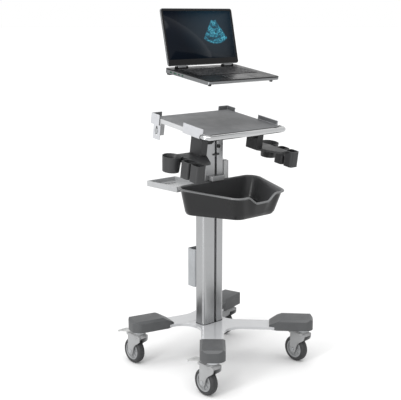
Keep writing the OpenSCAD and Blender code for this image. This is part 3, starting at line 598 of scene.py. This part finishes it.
def make_fork(corner):
    """Moulded swivel fork: a two-tier collar over a bridge, two legs, and the pedal's ears."""
    stem = joint_place(f"swivel_{corner}")
    at = Matrix.Translation((stem.x, stem.y, 0.0)) @ CASTER_TURN
    outline = fork_outline()
    bm = bmesh.new()
    for side in (-1, 1):
        low, high = span(side, LEG_INNER, LEG_OUTER)
        add_prism(bm, outline, low, high, UPRIGHT)
    collar = [(0.0, 0.1102), (0.0225, 0.1102), (0.0252, 0.1125), (0.0258, 0.1200), (0.0248, 0.1232),
              (0.0222, 0.1240), (0.0218, 0.1262), (0.0205, 0.1276), (0.0, 0.1278)]
    add_lathe(bm, collar, 56)
    bridge = rounded_outline(-0.0430, 0.0225, -0.0205, 0.0205, 0.004, 3)
    add_prism(bm, bridge, 0.1104, 0.1216)
    for side in (-1, 1):
        low, high = span(side, LEG_INNER, LEG_OUTER)
        ear = [(0.0027, low), (0.0060, low), (0.0060, high), (0.0027, high), (0.0027, low)]
        add_lathe(bm, ear, 24, Matrix.Translation(EAR_PLACE) @ UPRIGHT)
    make_piece(f"caster_fork_{corner}", bm, "fork_paint", f"fork_{corner}", at, bevel=0.0011,
               segments=3, stands_for=[f"fork_{corner}"])


def make_pedal(corner):
    """Sloping pedal plate with a lip, four grip ribs, and its barrel on a pin."""
    at = Matrix.Translation(joint_place(f"pedal_{corner}")) @ CASTER_TURN
    flare = [(-0.022, -0.0155), (-0.034, -0.0172), (-0.040, -0.0215), (-0.054, -0.0220)]
    outline = [(-0.002, -0.0140), (-0.018, -0.0148)]
    outline += bezier(flare, 6)
    outline += arc((-0.0580, -0.0180), 0.004, 270, 180, 4)
    outline += [(x, -y) for x, y in reversed(outline)]
    bm = bmesh.new()
    add_prism(bm, outline, 0.0012, 0.0048)
    lip = rounded_outline(-0.0628, -0.0580, -0.0185, 0.0185, 0.0015, 2)
    add_prism(bm, lip, -0.0028, 0.0046)
    for k in range(4):
        x = -0.0560 + 0.0062 * k
        grip = rounded_outline(x, x + 0.0026, -0.0150, 0.0150, 0.0012, 3)
        add_prism(bm, grip, 0.0044, 0.0054)
    for radius, half, steps in ((0.005, 0.0155, 32), (0.0025, 0.0215, 24)):
        rod = [(0.0, -half), (radius, -half), (radius, half), (0.0, half)]
        add_lathe(bm, rod, steps, UPRIGHT)
    for vert in bm.verts:
        vert.co.z -= PEDAL_SLOPE * max(0.0, PEDAL_SLOPE_START - vert.co.x)
    make_piece(f"brake_pedal_{corner}", bm, "pedal_plastic", f"pedal_{corner}", at, bevel=0.0006,
               stands_for=[f"pedal_{corner}"])


# ---------- basket ----------

BASKET = COLUMN @ Matrix.Translation((-0.003, -0.030, 0.614))
BASKET_DEPTH = 0.248
BACK_HALF = 0.193
FRONT_HALF = 0.131
SIDE_DRAFT = 0.026
FRONT_DRAFT = 0.020
CORNER_R = 0.040
RIM_BACK_Z = 0.104
RIM_DROP = 0.018
FRONT_WALL_Y = -0.20
NOTCH_HALF = 0.024
NOTCH_RAMP = 0.050
NOTCH_DEPTH = 0.026
COLUMN_CLEARANCE = 0.0003


def basket_ring(share, inset):
    """The basket's plan outline at a share of its height. inset goes inwards."""
    back_half = BACK_HALF - SIDE_DRAFT * (1 - share) - inset
    front_half = FRONT_HALF - SIDE_DRAFT * (1 - share) - inset
    front = -BASKET_DEPTH + FRONT_DRAFT * (1 - share) + inset
    radius = max(0.004, CORNER_R - inset)
    back_centre = (back_half - radius, -inset - radius)
    front_centre = (front_half - radius, front + radius)
    splay = math.degrees(math.atan2(back_centre[0] - front_centre[0],
                                    back_centre[1] - front_centre[1]))
    corners = [(back_centre, -splay, 90),
               ((-back_centre[0], back_centre[1]), 90, 180 + splay),
               ((-front_centre[0], front_centre[1]), 180 + splay, 270),
               (front_centre, 270, 360 - splay)]
    straight_steps = (24, 24, 64, 24)
    points = []
    for k, (centre, start, end) in enumerate(corners):
        next_centre, next_start, _ = corners[(k + 1) % 4]
        bend = arc(centre, radius, start, end, 12)
        first = arc(next_centre, radius, next_start, next_start, 1)[0]
        points += bend
        for step in range(1, straight_steps[k]):
            t = step / straight_steps[k]
            points.append((bend[-1][0] + (first[0] - bend[-1][0]) * t,
                           bend[-1][1] + (first[1] - bend[-1][1]) * t))
    return points


def rim_height(x, y):
    """Height of the wall's edge: lower towards the front, with a finger notch in the front wall."""
    level = RIM_BACK_Z + RIM_DROP * y / BASKET_DEPTH
    if y > FRONT_WALL_Y:
        return level
    slope = min(1.0, max(0.0, (abs(x) - NOTCH_HALF) / NOTCH_RAMP))
    slope = slope * slope * (3 - 2 * slope)
    return level - NOTCH_DEPTH * (1 - slope)


def make_basket():
    """Thin moulded shell: drafted walls, a rounded foot, and a rolled rim that dips in front."""
    bm = bmesh.new()
    on_rim_highlight = bm.verts.layers.float.new("rim")
    on_lit_inside = bm.verts.layers.float.new("inside")
    rings = []
    edge = basket_ring(1.0, 0.0)

    def mark(layer):
        """Marks the newest ring."""
        for vert in rings[-1]:
            vert[layer] = 1.0

    def floor_ring(inset, height):
        """Ring at the foot of the walls, or inwards of it."""
        rings.append(add_ring(bm, [(x, y, height) for x, y in basket_ring(0.0, inset)]))

    def wall_ring(share, inset):
        """Ring at a share of the way from the floor up to the wall's edge."""
        points = []
        for (x, y), (edge_x, edge_y) in zip(basket_ring(share, inset), edge):
            points.append((x, y, share * rim_height(edge_x, edge_y)))
        rings.append(add_ring(bm, points))

    def rim_ring(inset, rise):
        """Ring at a height above the wall's edge, kept clear of the column behind it."""
        points = []
        for (x, y), (edge_x, edge_y) in zip(basket_ring(1.0, inset), edge):
            points.append((x, min(y, -COLUMN_CLEARANCE), rim_height(edge_x, edge_y) + rise))
        rings.append(add_ring(bm, points))
        mark(on_rim_highlight)

    for inset, height in ((0.020, 0.0), (0.010, 0.0), (0.0055, 0.0008), (0.0022, 0.0030),
                          (0.0004, 0.0065)):
        floor_ring(inset, height)
    for share in (0.12, 0.25, 0.4, 0.55, 0.7, 0.85, 0.93):
        wall_ring(share, 0.0)
    # These rim rings are marked for a painted highlight along the rolled rim.
    for inset, rise in ((-0.0004, -0.0062), (-0.0030, -0.0058), (-0.0058, -0.0050),
                        (-0.0070, -0.0030), (-0.0066, -0.0008), (-0.0048, 0.0006),
                        (-0.0020, 0.0010), (0.0008, 0.0006), (0.0024, -0.0006), (0.0030, -0.0030)):
        rim_ring(inset, rise)
    # These inner wall rings are marked for painted light: the inside is coloured paler where light falls in from
    # above.
    for share in (0.93, 0.8, 0.6, 0.4, 0.25, 0.12):
        wall_ring(share, 0.003)
        mark(on_lit_inside)
    for inset, height in ((0.0034, 0.0095), (0.0055, 0.0055), (0.009, 0.0034), (0.014, 0.003),
                          (0.024, 0.003)):
        floor_ring(inset, height)
    add_skin(bm, rings)
    make_piece("basket_shell", bm, "basket_plastic", "trolley", BASKET, stands_for=["basket"])


# ---------- laptop ----------

# Left, right, front and back edges: of the screen in the lid's frame, of the trim in the laptop's.
PANEL_EDGES = (-0.1678, 0.1678, -0.2038, -0.0277)
BEZEL_OUTER = (-0.1742, 0.1742, -0.2112, -0.0070)
BEZEL_INNER = (-0.1676, 0.1676, -0.2036, -0.0279)
TRIM_OUTER = (-0.0526, 0.0526, -0.1116, -0.0484)
TRIM_INNER = (-0.0518, 0.0518, -0.1108, -0.0492)
CAMERA_WINDOW_PLACE = (0.0, -0.2074, 0.0)


def make_screen():
    """Glass panel with its picture, the black bezel round it, and the bezel's camera window."""
    bm = bmesh.new()
    add_prism(bm, rounded_outline(*PANEL_EDGES, 0.001, 2), -0.0006, 0.0010)
    make_piece("screen_panel", bm, "screen_glass", "lid", LID, stands_for=["display"])
    bm = bmesh.new()
    outer = rounded_outline(*BEZEL_OUTER, 0.006)
    inner = rounded_outline(*BEZEL_INNER, 0.001)
    add_frame(bm, outer, inner, -0.0014, -0.0009)
    make_piece("screen_bezel", bm, "deck_black", "lid", LID, bevel=0.0001)
    bm = bmesh.new()
    window = [(0.0, -0.0017), (0.0019, -0.0017), (0.0021, -0.0010), (0.0, -0.0010)]
    add_lathe(bm, window, 24, Matrix.Translation(CAMERA_WINDOW_PLACE))
    make_piece("camera_window", bm, "pad_black", "lid", LID)


def make_touchpad_trim():
    """Thin bright line set into the touchpad's edge."""
    bm = bmesh.new()
    outer = rounded_outline(*TRIM_OUTER, 0.003)
    inner = rounded_outline(*TRIM_INNER, 0.0022)
    add_frame(bm, outer, inner, 0.0165, 0.01695)
    make_piece("touchpad_trim", bm, "polished_aluminium", "touchpad", LAPTOP)


# ---------- tray trim ----------

# Lowest and highest corners in the tray's frame. The pads are those of the right side.
BAR_GROOVE_SHADE = ((-0.1755, -0.1878, 0.0462), (0.1755, -0.1832, 0.0476))
CLAMP_PAD = ((0.1872, -0.1600, 0.0490), (0.1886, -0.0640, 0.0618))
BRACKET_SIDE_PAD = ((0.1902, 0.0700, 0.0225), (0.1914, 0.1085, 0.0592))
BRACKET_BACK_PAD = ((0.1460, 0.1102, 0.0225), (0.1895, 0.1114, 0.0592))


def make_tray_trim():
    """Black strip of painted shade filling the groove behind the handle bar, and pads inside clamps and brackets.
    """
    bm = bmesh.new()
    # The groove's strip is painted shade: black rubber put where the groove lies in shadow.
    add_box(bm, *BAR_GROOVE_SHADE)
    make_piece("bar_groove_painted_shade", bm, "black_rubber", "tray", TRAY, bevel=0.0005)
    for side, name in ((-1, "left"), (1, "right")):
        bm = bmesh.new()
        add_side_box(bm, side, *CLAMP_PAD)
        make_piece(f"{name}_clamp_pad", bm, "mat_grey", f"{name}_clamp", TRAY, bevel=0.0004)
        bm = bmesh.new()
        add_side_box(bm, side, *BRACKET_SIDE_PAD)
        add_side_box(bm, side, *BRACKET_BACK_PAD)
        make_piece(f"{name}_bracket_pad", bm, "mat_grey", f"{name}_bracket", TRAY, bevel=0.0004)


# ---------- build ----------

for node_name, edge_radius in BEVELS.items():
    finish_node(node_name, edge_radius)
for corner in CORNERS:
    make_tyre(corner)
    make_hub(corner)
    make_fork(corner)
    make_pedal(corner)
make_basket()
make_screen()
make_touchpad_trim()
make_tray_trim()


# ---------- camera, floor and light ----------

CAMERA_FROM_COLUMN = (-2.248, -2.402)
CAMERA_HEIGHT = 1.330
VIEW_LINE = (0.661, 0.721, -0.206)
LENS_MM = 79.45
SENSOR_MM = 36.0
FLOOR_HALF = 200.0


def aim(item, direction):
    """Turns a camera or a light towards a direction."""
    item.rotation_mode = "QUATERNION"
    item.rotation_quaternion = Vector(direction).to_track_quat("-Z", "Y")


def make_camera():
    """Camera at the photograph's viewing angle."""
    data = bpy.data.cameras.new("camera")
    data.lens = LENS_MM
    data.sensor_width = SENSOR_MM
    data.clip_end = 80.0
    camera = bpy.data.objects.new("camera", data)
    x, y = CAMERA_FROM_COLUMN
    camera.location = (PIVOT.x + x, PIVOT.y + y, CAMERA_HEIGHT)
    aim(camera, VIEW_LINE)
    bpy.context.scene.collection.objects.link(camera)
    bpy.context.scene.camera = camera


def make_floor():
    """Plain pale floor, wide enough to fill every view."""
    mesh = bpy.data.meshes.new("floor")
    outline = [(-FLOOR_HALF, -FLOOR_HALF, 0), (FLOOR_HALF, -FLOOR_HALF, 0),
               (FLOOR_HALF, FLOOR_HALF, 0), (-FLOOR_HALF, FLOOR_HALF, 0)]
    mesh.from_pydata(outline, [], [(0, 1, 2, 3)])
    floor = bpy.data.objects.new("floor", mesh)
    pale = new_material("floor", (0.66, 0.66, 0.66), 0.9, Specular_IOR_Level=0.1)[0]
    mesh.materials.append(pale)
    bpy.context.scene.collection.objects.link(floor)


def add_light(name, kind, location, target, energy, **settings):
    """A light at a location, turned towards a target."""
    data = bpy.data.lights.new(name, kind)
    data.energy = energy
    for key, value in settings.items():
        setattr(data, key, value)
    light = bpy.data.objects.new(name, data)
    light.location = location
    aim(light, Vector(target) - Vector(location))
    bpy.context.scene.collection.objects.link(light)


def make_world():
    """Even white light from all round."""
    world = bpy.data.worlds.new("studio")
    bpy.context.scene.world = world
    world.use_nodes = True
    background = world.node_tree.nodes["Background"]
    background.inputs["Color"].default_value = (1.0, 1.0, 1.0, 1.0)
    background.inputs["Strength"].default_value = 1.0


make_camera()
make_floor()
make_world()
add_light("overhead", "SUN", (-0.5, -0.3, 3.0), (0, 0, 0), 2.2, angle=math.radians(55))
add_light("left_softbox", "AREA", (-3.0, -0.6, 1.6), (0, 0, 0.8), 60.0, shape="RECTANGLE",
          size=0.5, size_y=2.2)
bpy.context.scene.view_settings.view_transform = "Standard"
